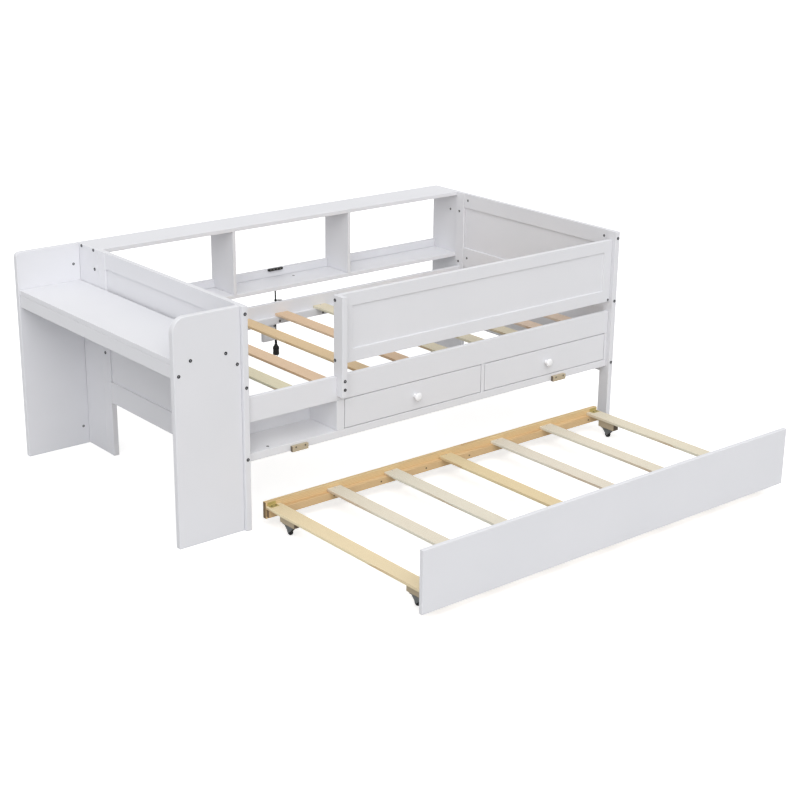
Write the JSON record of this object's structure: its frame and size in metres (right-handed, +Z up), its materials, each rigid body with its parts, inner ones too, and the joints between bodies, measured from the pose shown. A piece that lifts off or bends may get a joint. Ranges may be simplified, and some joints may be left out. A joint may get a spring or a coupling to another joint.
{
  "type": "trundle bed",
  "caption": "Low daybed with a desk across its foot end, an open back shelf with a power outlet, a guard, drawers, a cubby and a rolling pull-out trundle.",
  "frame": {"origin": "on the floor, at the outer face of the foot posts and the front faces of the front posts", "axes": "+X along the bed from foot to head, +Y from the open front to the back shelf, +Z up"},
  "size_m": [2.275, 2.236, 0.89],
  "materials": {
    "white_paint": "satin white lacquer over pine and board",
    "knob_paint": "satin white lacquer on turned wood",
    "bare_pine": "unfinished planed pine",
    "outlet_plastic": "moulded, fine texture",
    "cord_jacket": "extruded PVC jacket",
    "caster_steel": "zinc plated pressed steel",
    "wheel_nylon": "moulded nylon"
  },
  "bodies": {
    "bed": {"post_foot_front": "white_paint", "post_foot_rear": "white_paint", "post_head_front": "white_paint", "post_head_rear": "white_paint", "footboard": "white_paint", "headboard": "white_paint", "front_rail": "white_paint", "front_low_rail": "white_paint", "rear_rail": "white_paint", "slat_deck": "bare_pine", "guard_leg": "white_paint", "guard_panel": "white_paint", "case_floor": "white_paint", "case_back": "white_paint", "case_stile_foot": "white_paint", "case_divider": "white_paint", "case_stile_head": "white_paint", "stop_block_1": "bare_pine", "stop_block_2": "bare_pine", "desk_panel_near": "white_paint", "desk_panel_far": "white_paint", "desk_top": "white_paint", "desk_apron_front": "white_paint", "desk_apron_rear": "white_paint", "shelf_end_foot": "white_paint", "shelf_end_head": "white_paint", "shelf_top": "white_paint", "shelf_lower": "white_paint", "shelf_lip": "white_paint", "shelf_divider_1": "white_paint", "shelf_divider_2": "white_paint", "outlet": "outlet_plastic", "cord": "cord_jacket", "plug": "outlet_plastic"},
    "drawer_foot": {"drawer_front_foot": "white_paint", "drawer_tray_foot": "bare_pine", "drawer_knob_foot": "knob_paint"},
    "drawer_head": {"drawer_front_head": "white_paint", "drawer_tray_head": "bare_pine", "drawer_knob_head": "knob_paint"},
    "trundle": {"trundle_panel": "white_paint", "trundle_rail_rear": "bare_pine", "trundle_rail_front": "bare_pine", "trundle_cleat_rear": "bare_pine", "trundle_cleat_front": "bare_pine", "trundle_slat_1": "bare_pine", "trundle_slat_2": "bare_pine", "trundle_slat_3": "bare_pine", "trundle_slat_4": "bare_pine", "trundle_slat_5": "bare_pine", "trundle_slat_6": "bare_pine", "trundle_slat_7": "bare_pine", "caster_fork_foot_front": "caster_steel", "caster_fork_foot_rear": "caster_steel", "caster_fork_head_front": "caster_steel", "caster_fork_head_rear": "caster_steel"},
    "wheel_foot_front": {"caster_wheel_foot_front": "wheel_nylon"},
    "wheel_foot_rear": {"caster_wheel_foot_rear": "wheel_nylon"},
    "wheel_head_front": {"caster_wheel_head_front": "wheel_nylon"},
    "wheel_head_rear": {"caster_wheel_head_rear": "wheel_nylon"}
  },
  "joints": [
    {"name": "trundle_slide", "type": "slide", "parent": "bed", "child": "trundle", "axis": [0, 1, 0], "range_m": [0, 0.985]},
    {"name": "drawer_slide_foot", "type": "slide", "parent": "bed", "child": "drawer_foot", "axis": [0, -1, 0], "range_m": [0, 0.12]},
    {"name": "drawer_slide_head", "type": "slide", "parent": "bed", "child": "drawer_head", "axis": [0, -1, 0], "range_m": [0, 0.12]},
    {"name": "caster_spin_foot_front", "type": "hinge", "parent": "trundle", "child": "wheel_foot_front", "pos_m": [0.114, -0.878, 0.014], "axis": [1, 0, 0], "continuous": true},
    {"name": "caster_spin_foot_rear", "type": "hinge", "parent": "trundle", "child": "wheel_foot_rear", "pos_m": [0.114, -0.124, 0.014], "axis": [1, 0, 0], "continuous": true},
    {"name": "caster_spin_head_front", "type": "hinge", "parent": "trundle", "child": "wheel_head_front", "pos_m": [1.846, -0.878, 0.014], "axis": [1, 0, 0], "continuous": true},
    {"name": "caster_spin_head_rear", "type": "hinge", "parent": "trundle", "child": "wheel_head_rear", "pos_m": [1.846, -0.124, 0.014], "axis": [1, 0, 0], "continuous": true}
  ]
}
